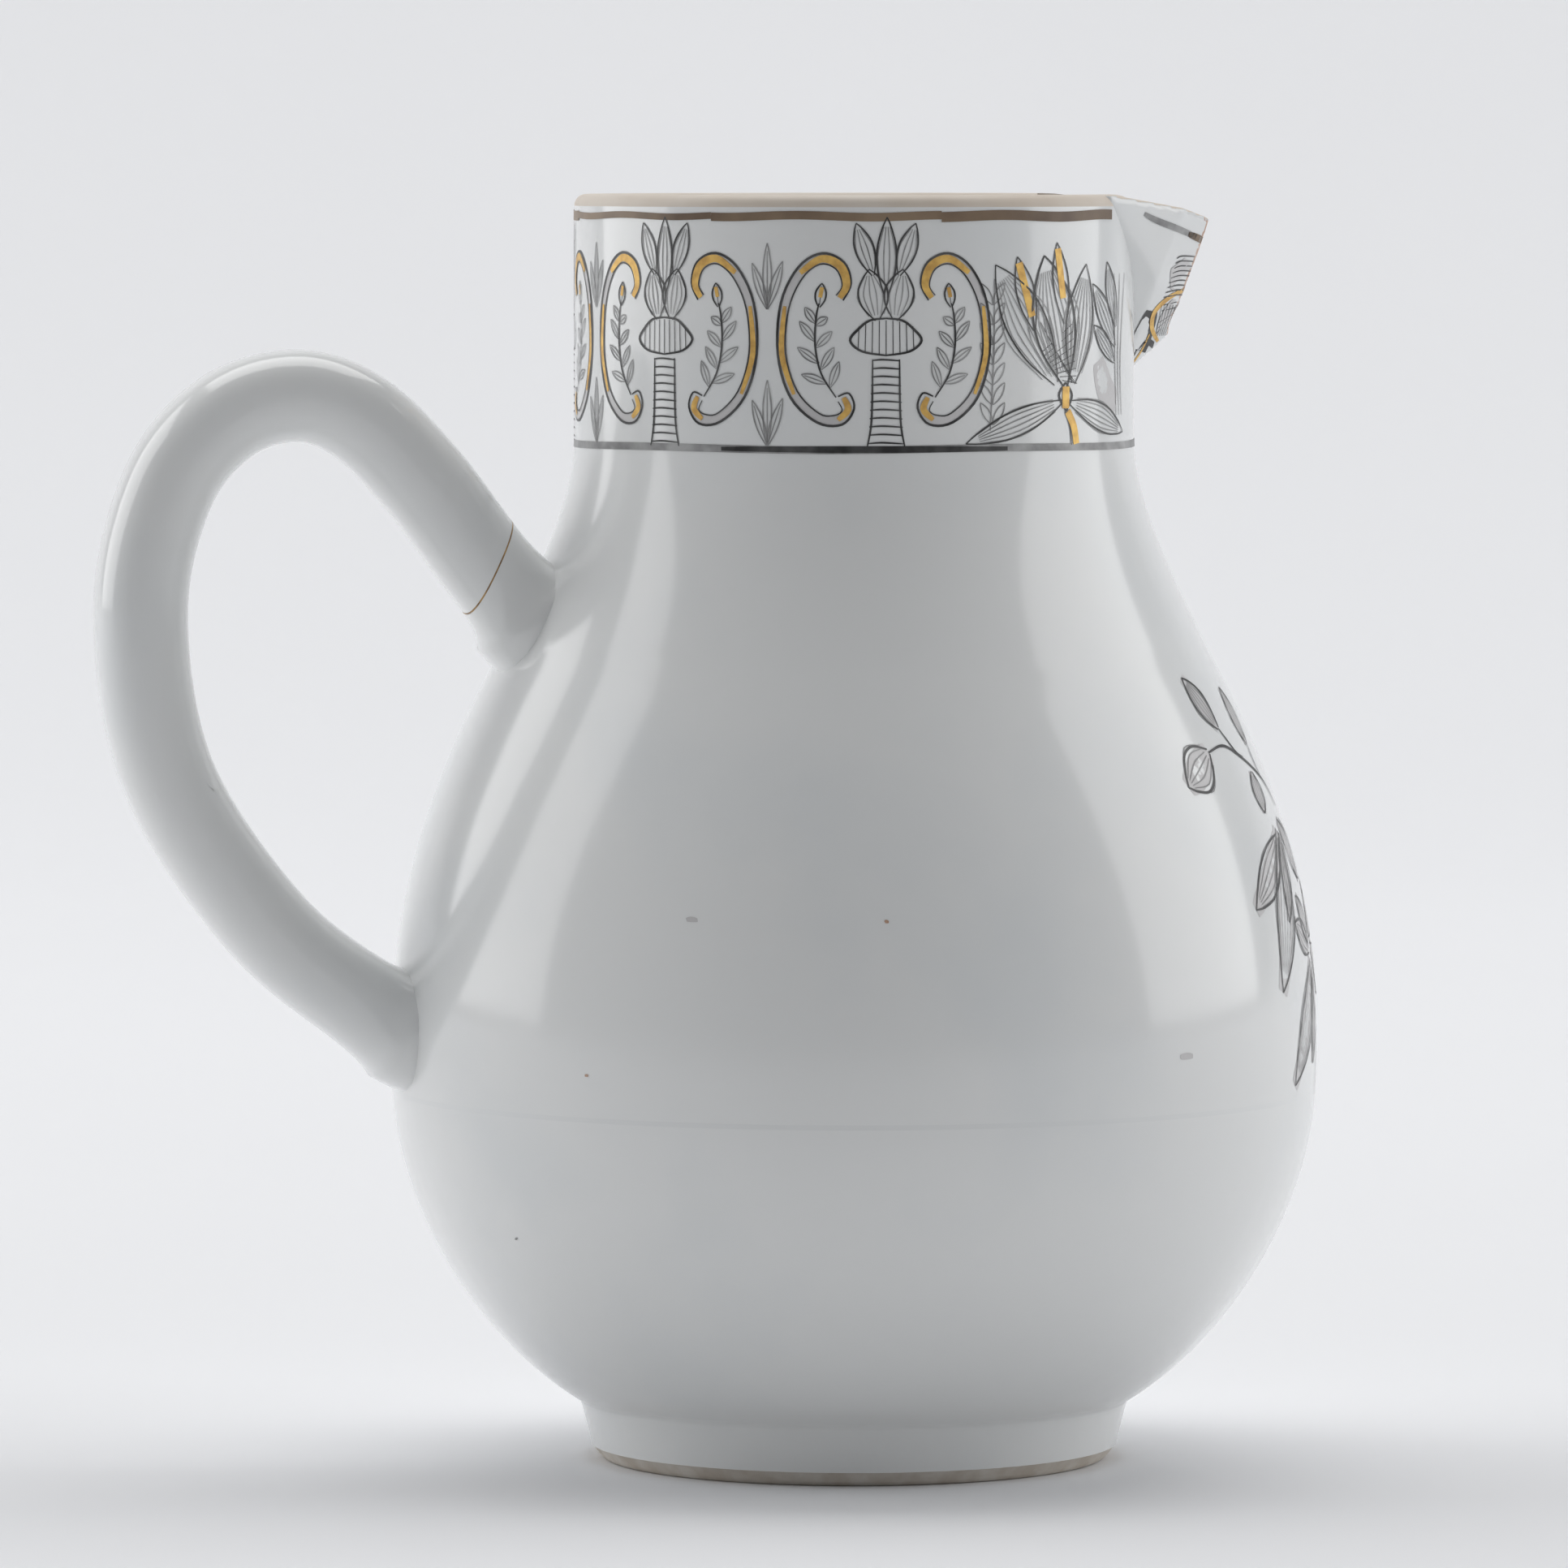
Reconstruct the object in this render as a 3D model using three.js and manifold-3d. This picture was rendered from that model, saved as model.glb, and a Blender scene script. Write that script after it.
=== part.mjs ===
// A small porcelain milk jug: round bottle-shaped body thrown in two halves, a loop
// handle and a pointed beak at the rim. Millimetres, +Z up, the beak towards +X.
import * as THREE from 'three';
import { ConvexGeometry } from 'three/addons/geometries/ConvexGeometry.js';
import { mergeVertices } from 'three/addons/utils/BufferGeometryUtils.js';
import Module from 'manifold-3d';

// Body
const HEIGHT = 130;
const BELLY_R = 47.5;
const NECK_R = 28.7;
const NECK_START_Z = 105;
const SHOULDER_R = 36.2;
const SHOULDER_Z = 83.5;
const SEAM_Z = 38;
const SEAM_THICK = 0.5;
const WALL = 2.8;
const LIP_WALL = 2.4;

// Foot ring
const FOOT_TOP_R = 28.3;
const FOOT_TOP_Z = 6.1;
const FOOT_GLAZE_R = 27.1;
const FOOT_BEVEL_Z = 1.5;
const FOOT_FLAT_R = 25.9;
const FOOT_INNER_R = 23.2;
const BASE_UNDERSIDE_Z = 4.2;
const BASE_THICK = 4;

// Handle
const HANDLE_WIDTH = 12;
const HANDLE_THICK = 9.4;
const HANDLE_REACH = 26.5;
const HANDLE_TOP = 26.1;
const HANDLE_ROOT_DEPTH = 4;
const BREAK_OUT = 2.4;
const BREAK_UP = 8;
const BREAK_NORMAL = new THREE.Vector3(-0.9, 0, 0.43).normalize();
const GLUE_THICK = 0.4;

// Beak
const BEAK_ROOT_ANGLE = 37;
const BEAK_DEPTH = 19;
const BEAK_REACH = 40.5;
const BEAK_DROP = 3.6;
const BEAK_WALL = 2.3;
const BREAK_REACH = 36.0;

// Slip and clearances
const GAP = 0.3;
const SLIP_RISE = 1.2;
const SLIP_WIDTH = 1.4;

const AROUND = 48;
const CURVE_STEPS = 7;
const DEG = Math.PI / 180;

// Centre line of the handle, from inside the shoulder over the loop to inside the belly
const HANDLE_PATH = [
  [-(SHOULDER_R - HANDLE_ROOT_DEPTH), SHOULDER_Z + 1.5],
  [-(SHOULDER_R + 2.3), SHOULDER_Z + 8.9],
  [-(SHOULDER_R + 8.8), SHOULDER_Z + 17.5],
  [-(BELLY_R + 3.9), SHOULDER_Z + HANDLE_TOP - 2.3],
  [-(BELLY_R + 10.5), SHOULDER_Z + HANDLE_TOP],
  [-(BELLY_R + HANDLE_REACH - 8.7), SHOULDER_Z + HANDLE_TOP - 2.2],
  [-(BELLY_R + HANDLE_REACH - 2.8), SHOULDER_Z + HANDLE_TOP - 9.3],
  [-(BELLY_R + HANDLE_REACH), SHOULDER_Z + 4],
  [-(BELLY_R + HANDLE_REACH - 2.8), SEAM_Z + 33],
  [-(BELLY_R + 14), SEAM_Z + 18.2],
  [-(BELLY_R + 4), SEAM_Z + 9.9],
  [-(BELLY_R - HANDLE_ROOT_DEPTH), SEAM_Z + 5.5],
];
const BREAK_POINT = new THREE.Vector3(-(SHOULDER_R + BREAK_OUT), 0, SHOULDER_Z + BREAK_UP);

const wasm = await Module();
wasm.setup();

/** Turns a closed three.js geometry into a solid. */
function solid(geometry) {
  const bare = geometry.clone();
  bare.deleteAttribute('normal');
  bare.deleteAttribute('uv');
  const merged = mergeVertices(bare, 1e-4);
  return new wasm.Manifold(new wasm.Mesh({
    numProp: 3,
    vertProperties: new Float32Array(merged.attributes.position.array),
    triVerts: new Uint32Array(merged.index.array),
  }));
}

/** Turns a solid back into a geometry. */
function geometryOf(body) {
  const mesh = body.getMesh();
  const geometry = new THREE.BufferGeometry();
  geometry.setAttribute('position', new THREE.BufferAttribute(mesh.vertProperties, 3));
  geometry.setIndex(new THREE.BufferAttribute(mesh.triVerts, 1));
  geometry.computeVertexNormals();
  return geometry;
}

/** Points along a cubic curve through [radius, height] controls, without its first point. */
function curve(controls, steps = CURVE_STEPS) {
  const [a, b, c, d] = controls.map(([r, z]) => new THREE.Vector2(r, z));
  return new THREE.CubicBezierCurve(a, b, c, d).getPoints(steps).slice(1);
}

/** Moves an open outline sideways, outwards when the distance is positive. */
function offset(points, distance) {
  return points.map((point, i) => {
    const before = points[Math.max(0, i - 1)];
    const after = points[Math.min(points.length - 1, i + 1)];
    const along = after.clone().sub(before).normalize();
    return new THREE.Vector2(point.x + along.y * distance, point.y - along.x * distance);
  });
}

/** Turns an outline in [radius, height] about the vertical axis. */
function revolve(points) {
  const lathe = new THREE.LatheGeometry(points, AROUND);
  lathe.rotateX(Math.PI / 2);
  return lathe;
}

const v2 = (r, z) => new THREE.Vector2(r, z);

/** Outer line of the lower bowl, from the foot up to the seam. */
function lowerOutline() {
  return [
    v2(FOOT_TOP_R, FOOT_TOP_Z),
    ...curve([
      [FOOT_TOP_R, FOOT_TOP_Z],
      [FOOT_TOP_R + 10.5, FOOT_TOP_Z + 6.3],
      [BELLY_R - 0.6, SEAM_Z - 12],
      [BELLY_R, SEAM_Z],
    ]),
  ];
}

/** Outer line of the shoulder and neck, from the seam up to the neck. */
function upperOutline() {
  return [
    v2(BELLY_R, SEAM_Z + SEAM_THICK),
    ...curve([
      [BELLY_R, SEAM_Z + SEAM_THICK],
      [BELLY_R + 0.9, SEAM_Z + 17],
      [SHOULDER_R + 8.4, SHOULDER_Z - 15.5],
      [SHOULDER_R, SHOULDER_Z],
    ]),
    ...curve([
      [SHOULDER_R, SHOULDER_Z],
      [SHOULDER_R - 3.2, SHOULDER_Z + 7],
      [NECK_R + 0.2, NECK_START_Z - 7],
      [NECK_R, NECK_START_Z],
    ], 5),
  ];
}

/** Lower bowl with its turned foot ring. */
function lowerBody() {
  const innerR = BELLY_R - WALL;
  const floorZ = BASE_UNDERSIDE_Z + BASE_THICK;
  const inside = curve([
    [innerR, SEAM_Z],
    [innerR, SEAM_Z * 0.5],
    [innerR * 0.7, floorZ],
    [0, floorZ],
  ]);
  return revolve([
    v2(0, BASE_UNDERSIDE_Z),
    v2(FOOT_INNER_R - 0.6, BASE_UNDERSIDE_Z),
    v2(FOOT_INNER_R, 0),
    v2(FOOT_FLAT_R, 0),
    v2(FOOT_GLAZE_R, FOOT_BEVEL_Z),
    ...lowerOutline(),
    v2(innerR, SEAM_Z),
    ...inside,
  ]);
}

/** Slip between the two thrown halves. */
function bodySeamSlip() {
  const top = SEAM_Z + SEAM_THICK;
  return revolve([
    v2(BELLY_R - WALL, SEAM_Z),
    v2(BELLY_R, SEAM_Z),
    v2(BELLY_R, top),
    v2(BELLY_R - WALL, top),
    v2(BELLY_R - WALL, SEAM_Z),
  ]);
}

/** Solid body outline grown by a distance, for seating what is luted on. */
function grownBody(distance) {
  const side = offset([...lowerOutline(), ...upperOutline(), v2(NECK_R, HEIGHT + 10)], distance);
  return solid(revolve([
    v2(0, FOOT_TOP_Z),
    v2(FOOT_TOP_R, FOOT_TOP_Z - 0.01),
    ...side.slice(1),
    v2(0, HEIGHT + 10),
  ]));
}

/** Wedge with its point to the front: the beak's outside, or its channel when drawn in. */
function beakWedge(inset, rise) {
  const angle = BEAK_ROOT_ANGLE * DEG;
  const rootX = NECK_R * Math.cos(angle);
  const rootY = NECK_R * Math.sin(angle) - inset;
  const tipX = BEAK_REACH - inset * 2.1;
  const tipZ = HEIGHT - BEAK_DROP;
  const lowZ = HEIGHT - BEAK_DEPTH + inset * 1.6;
  const backX = NECK_R - LIP_WALL * 3;
  const points = [
    new THREE.Vector3(NECK_R - 0.4 - inset, 0, lowZ),
    new THREE.Vector3((tipX + NECK_R) / 2 + 0.6, 0, (tipZ + lowZ) / 2 - 1.5),
    new THREE.Vector3(tipX, 0, tipZ),
    new THREE.Vector3(tipX, 0, tipZ + rise),
    new THREE.Vector3(backX, 0, lowZ + 4),
    new THREE.Vector3(backX, 0, HEIGHT + rise),
  ];
  for (const side of [-1, 1]) {
    const midX = (rootX + tipX) / 2 + 0.9;
    const midY = side * (rootY / 2 + 0.8);
    points.push(new THREE.Vector3(midX, midY, HEIGHT - BEAK_DROP * 0.4 + rise));
    points.push(new THREE.Vector3(midX - 3, midY, HEIGHT - BEAK_DEPTH * 0.45));
    points.push(new THREE.Vector3(rootX, side * rootY, HEIGHT + rise));
    points.push(new THREE.Vector3(rootX, side * rootY, HEIGHT - 1));
    points.push(new THREE.Vector3(backX, side * rootY, HEIGHT + rise));
  }
  return solid(new ConvexGeometry(points));
}

/** The piece of the beak's point that is broken away. */
function beakLoss() {
  const top = HEIGHT - BEAK_DROP + 2;
  const outline = [
    [BREAK_REACH + 0.4, top], [BREAK_REACH, 125], [BREAK_REACH - 2, 120],
    [BREAK_REACH - 3.2, 116.6], [BREAK_REACH - 2, 114], [BEAK_REACH + 4, 112],
    [BEAK_REACH + 4, top],
  ];
  const points = [];
  for (const [x, z] of outline) {
    points.push(new THREE.Vector3(x + 0.5, -12, z), new THREE.Vector3(x - 0.3, 12, z));
  }
  return solid(new ConvexGeometry(points));
}

/** Shoulder, neck and lip, open behind the beak. */
function upperBody() {
  const outer = [...upperOutline(), v2(NECK_R, HEIGHT - LIP_WALL / 2)];
  const inner = offset(upperOutline(), -WALL).reverse();
  inner[inner.length - 1] = v2(BELLY_R - WALL, SEAM_Z + SEAM_THICK);
  const lip = [];
  for (let i = 1; i < 6; i += 1) {
    const a = i * 30 * DEG;
    const half = LIP_WALL / 2;
    lip.push(v2(NECK_R - half + half * Math.cos(a), HEIGHT - half + half * Math.sin(a)));
  }
  const shell = solid(revolve([
    ...outer, ...lip, v2(NECK_R - LIP_WALL, HEIGHT - LIP_WALL / 2), ...inner, outer[0],
  ]));
  return geometryOf(shell.subtract(beakWedge(BEAK_WALL, 12)));
}

/** Beak: a thin trough with a sharp keel, its point broken away. */
function beak() {
  const outside = beakWedge(0, 0);
  const trough = outside.subtract(beakWedge(BEAK_WALL, 12)).subtract(grownBody(GAP));
  return geometryOf(trough.subtract(beakLoss()));
}

/** Slip drawn round the root of the beak. */
function beakSlip() {
  const wide = beakWedge(-SLIP_WIDTH, 0);
  const band = wide.intersect(grownBody(SLIP_RISE)).subtract(grownBody(GAP));
  const ring = band.subtract(beakWedge(-GAP, 12)).subtract(beakWedge(-GAP, 0));
  return geometryOf(ring.subtract(beakLoss()));
}

/** Handle solid along its centre line, its section grown by a distance. */
function handleSolid(grow) {
  const path = new THREE.CatmullRomCurve3(
    HANDLE_PATH.map(([x, z]) => new THREE.Vector3(x, 0, z)), false, 'centripetal');
  const section = new THREE.Shape();
  const halfWidth = HANDLE_WIDTH / 2 + grow;
  const halfThick = HANDLE_THICK / 2 + grow;
  const sides = 16;
  for (let i = 0; i < sides; i += 1) {
    const a = (i / sides) * Math.PI * 2;
    const round = (value) => Math.sign(value) * Math.abs(value) ** 0.8;
    const x = halfWidth * round(Math.cos(a));
    const y = halfThick * round(Math.sin(a));
    if (i === 0) {
      section.moveTo(x, y);
    } else {
      section.lineTo(x, y);
    }
  }
  return solid(new THREE.ExtrudeGeometry(section, { steps: 36, extrudePath: path }));
}

/** Half space in front of the old break, moved along its normal. */
function beyondBreak(distance) {
  const size = 200;
  const box = new THREE.BoxGeometry(size, size, size);
  box.translate(0, 0, size / 2);
  const turn = new THREE.Quaternion().setFromUnitVectors(new THREE.Vector3(0, 0, 1), BREAK_NORMAL);
  box.applyQuaternion(turn);
  const start = BREAK_POINT.clone().addScaledVector(BREAK_NORMAL, distance);
  box.translate(start.x, start.y, start.z);
  return solid(box);
}

/** Space above or below the middle of the handle, to part its two roots. */
function rootSpace(upper) {
  const size = 160;
  const box = new THREE.BoxGeometry(size, size, size);
  const middle = (HEIGHT - BEAK_DEPTH) * 0.62;
  box.translate(-size / 2, 0, middle + (upper ? size / 2 : -size / 2));
  return solid(box);
}

/** Loop of the handle from the old break down to its lower root. */
function handleLoop() {
  const outside = handleSolid(0).subtract(grownBody(GAP));
  const lower = outside.intersect(rootSpace(false));
  const upper = outside.intersect(rootSpace(true)).intersect(beyondBreak(GLUE_THICK / 2 + GAP / 3));
  return geometryOf(lower.add(upper));
}

/** Stub of the handle that stayed on the shoulder at the old break. */
function handleStub() {
  const outside = handleSolid(0).subtract(grownBody(GAP)).intersect(rootSpace(true));
  return geometryOf(outside.subtract(beyondBreak(-GLUE_THICK / 2 - GAP / 3)));
}

/** Old adhesive in the break. */
function repairGlue() {
  const slab = beyondBreak(-GLUE_THICK / 2).subtract(beyondBreak(GLUE_THICK / 2));
  return geometryOf(handleSolid(-0.05).subtract(grownBody(GAP)).intersect(rootSpace(true)).intersect(slab));
}

/** Slip drawn round one root of the handle. */
function rootSlip(upper) {
  const collar = handleSolid(SLIP_WIDTH).intersect(rootSpace(upper));
  const band = collar.intersect(grownBody(SLIP_RISE)).subtract(grownBody(GAP));
  return geometryOf(band.subtract(handleSolid(GAP)));
}

const PORCELAIN = 0xdfe1e0;
const SLIP = 0xd9dcdb;
const ADHESIVE = 0xb08a4c;

/** A named piece with its own material. */
function piece(name, geometry, color, roughness) {
  const material = new THREE.MeshStandardMaterial({ color, roughness, metalness: 0 });
  const mesh = new THREE.Mesh(geometry, material);
  mesh.name = name;
  return mesh;
}

const body = new THREE.Group();
body.add(piece('lower_body', lowerBody(), PORCELAIN, 0.22));
body.add(piece('body_seam_slip', bodySeamSlip(), SLIP, 0.3));
body.add(piece('upper_body', upperBody(), PORCELAIN, 0.22));

const spout = new THREE.Group();
spout.add(piece('beak', beak(), PORCELAIN, 0.22));
spout.add(piece('beak_slip', beakSlip(), SLIP, 0.3));

const handle = new THREE.Group();
handle.add(piece('handle_loop', handleLoop(), PORCELAIN, 0.22));
handle.add(piece('handle_stub', handleStub(), PORCELAIN, 0.22));
handle.add(piece('repair_glue', repairGlue(), ADHESIVE, 0.5));
handle.add(piece('handle_upper_slip', rootSlip(true), SLIP, 0.3));
handle.add(piece('handle_lower_slip', rootSlip(false), SLIP, 0.3));

const jug = new THREE.Group();
jug.add(body, spout, handle);
const box = new THREE.Box3().setFromObject(jug);
jug.position.x = -(box.min.x + box.max.x) / 2;

export default jug;
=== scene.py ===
"""A small porcelain milk jug with a painted border, dressed round its solid frame.

Lengths are millimetres in the jug's own axes: Z up along the turned axis, X towards the beak.
"""

import logging
import math
from dataclasses import dataclass, field
from enum import Enum

import bmesh
import bpy
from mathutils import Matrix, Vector


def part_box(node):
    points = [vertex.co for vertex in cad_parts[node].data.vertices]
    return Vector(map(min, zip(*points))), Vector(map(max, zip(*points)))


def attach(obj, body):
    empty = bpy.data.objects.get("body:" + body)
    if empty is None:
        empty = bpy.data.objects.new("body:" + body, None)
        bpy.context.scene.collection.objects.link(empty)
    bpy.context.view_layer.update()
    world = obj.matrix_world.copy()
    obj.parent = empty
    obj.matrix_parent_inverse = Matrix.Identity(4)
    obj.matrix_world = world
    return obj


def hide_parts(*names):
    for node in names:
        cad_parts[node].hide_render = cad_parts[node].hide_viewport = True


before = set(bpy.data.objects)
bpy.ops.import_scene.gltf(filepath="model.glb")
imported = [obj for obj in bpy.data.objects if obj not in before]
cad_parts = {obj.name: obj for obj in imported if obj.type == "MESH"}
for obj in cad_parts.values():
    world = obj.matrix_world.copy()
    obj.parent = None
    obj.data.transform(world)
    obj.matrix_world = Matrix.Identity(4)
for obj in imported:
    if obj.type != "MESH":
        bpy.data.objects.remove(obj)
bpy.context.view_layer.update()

LOG = logging.getLogger("jug")
MM = 0.001
SHARP_ANGLE = 38.0
ON_AXIS = 1e-6
STRAP_STEPS = 12
STROKE_STEPS = 5

Point2 = tuple[float, float]
Point3 = tuple[float, float, float]
Colour = tuple[float, float, float]
Material = bpy.types.Material
Piece = bpy.types.Object


class Ink(Enum):
    """The enamels and stains laid on the glaze."""

    GREY = "grey"
    SOFT = "soft"
    GILT = "gilt"
    BROWN = "brown"
    WASH = "wash"
    STAIN = "stain"


@dataclass(frozen=True)
class BodySizes:
    """Driving sizes of the turned body."""

    height: float = 130.0
    belly_r: float = 47.5
    neck_r: float = 28.7
    neck_start_z: float = 105.0
    shoulder_r: float = 36.2
    shoulder_z: float = 83.5
    seam_z: float = 38.0
    seam_thick: float = 0.5
    wall: float = 2.8
    lip_wall: float = 2.4
    foot_top_r: float = 28.3
    foot_top_z: float = 6.1
    foot_glaze_r: float = 27.1
    foot_bevel_z: float = 1.5
    foot_flat_r: float = 25.9
    foot_inner_r: float = 23.2
    underside_z: float = 4.2
    base_thick: float = 4.0
    neck_rings: Point2 = (112.0, 120.0)
    bare_rim: float = 1.7
    around: int = 192

    @property
    def inner_r(self) -> float:
        """Inner radius at the belly."""
        return self.belly_r - self.wall

    @property
    def seam_top(self) -> float:
        """Height of the upper half's lower edge."""
        return self.seam_z + self.seam_thick


@dataclass(frozen=True)
class Glaze:
    """A clear glaze over white porcelain, with faint tone changes and a gentle ripple."""

    name: str
    colour: Colour = (0.825, 0.835, 0.83)
    pooled: Colour = (0.775, 0.795, 0.80)
    roughness: float = 0.16
    tone_scale: float = 38.0
    tone_limits: Point2 = (0.30, 0.52)
    ripple_scale: float = 90.0
    ripple_strength: float = 0.06
    ripple_depth: float = 0.0006
    scatter: float = 0.12
    scatter_reach: Colour = (0.0012, 0.0012, 0.0011)
    coat: float = 0.4
    coat_roughness: float = 0.09

    def material(self) -> Material:
        """Builds the node material.

        Returns:
            The glaze material.
        """
        mat, nodes, links, shader = new_material(self.name)
        tone = noise(nodes, self.tone_scale, 3.0)
        mix = mixed(nodes, links, tone.outputs["Fac"], self.pooled, self.colour, *self.tone_limits)
        links.new(mix, shader.inputs["Base Color"])
        ripple = noise(nodes, self.ripple_scale, 1.0)
        relief(nodes, links, ripple, shader, self.ripple_strength, self.ripple_depth)
        shader.inputs["Roughness"].default_value = self.roughness
        shader.inputs["Subsurface Weight"].default_value = self.scatter
        shader.inputs["Subsurface Radius"].default_value = self.scatter_reach
        shader.inputs["Coat Weight"].default_value = self.coat
        shader.inputs["Coat Roughness"].default_value = self.coat_roughness
        return mat


@dataclass(frozen=True)
class Matt:
    """A matt finish with two tones: bare clay, stain, adhesive or enamel."""

    name: str
    light: Colour
    dark: Colour
    roughness: float = 0.6
    scale: float = 400.0
    metallic: float = 0.0
    spread: Point2 = (0.35, 0.65)
    grain_strength: float = 0.15
    grain_depth: float = 0.0002

    def material(self) -> Material:
        """Builds the node material.

        Returns:
            The two-tone material.
        """
        mat, nodes, links, shader = new_material(self.name)
        tone = noise(nodes, self.scale, 4.0)
        mix = mixed(nodes, links, tone.outputs["Fac"], self.dark, self.light, *self.spread)
        links.new(mix, shader.inputs["Base Color"])
        relief(nodes, links, tone, shader, self.grain_strength, self.grain_depth)
        shader.inputs["Roughness"].default_value = self.roughness
        shader.inputs["Metallic"].default_value = self.metallic
        return mat


def new_material(name: str) -> tuple[Material, bpy.types.Nodes, bpy.types.NodeLinks, bpy.types.Node]:
    """Starts a node material.

    Args:
        name: The material's name.

    Returns:
        The material, its nodes, its links and its main shader.
    """
    mat = bpy.data.materials.new(name)
    mat.use_nodes = True
    nodes = mat.node_tree.nodes
    return mat, nodes, mat.node_tree.links, nodes["Principled BSDF"]


def noise(nodes: bpy.types.Nodes, scale: float, detail: float) -> bpy.types.Node:
    """Adds a noise texture in object space.

    Args:
        nodes: The material's nodes.
        scale: Repeats per metre.
        detail: Octaves.

    Returns:
        The noise node.
    """
    coordinates = nodes.new("ShaderNodeTexCoord")
    texture = nodes.new("ShaderNodeTexNoise")
    texture.inputs["Scale"].default_value = scale
    texture.inputs["Detail"].default_value = detail
    nodes.id_data.links.new(coordinates.outputs["Object"], texture.inputs["Vector"])
    return texture


def mixed(nodes: bpy.types.Nodes, links: bpy.types.NodeLinks, factor: bpy.types.NodeSocket,
          low: Colour, high: Colour, start: float, end: float) -> bpy.types.NodeSocket:
    """Blends two colours by a factor between two limits.

    Args:
        nodes: The material's nodes.
        links: The material's links.
        factor: The socket that drives the blend.
        low: Colour at the start.
        high: Colour at the end.
        start: Factor where the blend starts.
        end: Factor where it ends.

    Returns:
        The colour socket.
    """
    ramp = nodes.new("ShaderNodeValToRGB")
    ramp.color_ramp.elements[0].position = start
    ramp.color_ramp.elements[0].color = (*low, 1.0)
    ramp.color_ramp.elements[1].position = end
    ramp.color_ramp.elements[1].color = (*high, 1.0)
    links.new(factor, ramp.inputs["Fac"])
    return ramp.outputs["Color"]


def relief(nodes: bpy.types.Nodes, links: bpy.types.NodeLinks, texture: bpy.types.Node,
           shader: bpy.types.Node, strength: float, depth: float) -> None:
    """Gives a surface a fine relief from a noise texture.

    Args:
        nodes: The material's nodes.
        links: The material's links.
        texture: The noise node.
        shader: The material's shader.
        strength: Share of the relief that shows.
        depth: Depth in metres.
    """
    bump = nodes.new("ShaderNodeBump")
    bump.inputs["Strength"].default_value = strength
    bump.inputs["Distance"].default_value = depth
    links.new(texture.outputs["Fac"], bump.inputs["Height"])
    links.new(bump.outputs["Normal"], shader.inputs["Normal"])


def bezier(controls: list[Point2], steps: int) -> list[Point2]:
    """Points along a cubic curve, without its first point.

    Args:
        controls: The four control points.
        steps: Number of points.

    Returns:
        The points.
    """
    points = []
    for i in range(1, steps + 1):
        t = i / steps
        w = ((1 - t) ** 3, 3 * t * (1 - t) ** 2, 3 * t * t * (1 - t), t ** 3)
        points.append(tuple(sum(k * p[axis] for k, p in zip(w, controls)) for axis in (0, 1)))
    return points


def smooth_path(points: list[Point2], steps: int) -> list[Point2]:
    """A smooth line through the given points.

    Args:
        points: The points to pass through.
        steps: New points per span.

    Returns:
        The smooth line.
    """
    if len(points) < 3:
        return list(points)
    ends = [points[0], *points, points[-1]]
    line = [points[0]]
    for p0, p1, p2, p3 in zip(ends, ends[1:], ends[2:], ends[3:]):
        for i in range(1, steps + 1):
            t = i / steps
            line.append(tuple(
                0.5 * (2 * b + (c - a) * t + (2 * a - 5 * b + 4 * c - d) * t * t
                       + (3 * b - a - 3 * c + d) * t ** 3)
                for a, b, c, d in zip(p0, p1, p2, p3)))
    return line


def offset(points: list[Point2], distance: float) -> list[Point2]:
    """Moves an open outline sideways.

    Args:
        points: The outline.
        distance: Outward distance.

    Returns:
        The moved outline.
    """
    moved = []
    for i, (r, z) in enumerate(points):
        r0, z0 = points[max(0, i - 1)]
        r1, z1 = points[min(len(points) - 1, i + 1)]
        length = math.hypot(r1 - r0, z1 - z0) or 1.0
        moved.append((r + (z1 - z0) / length * distance, z - (r1 - r0) / length * distance))
    return moved


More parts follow.
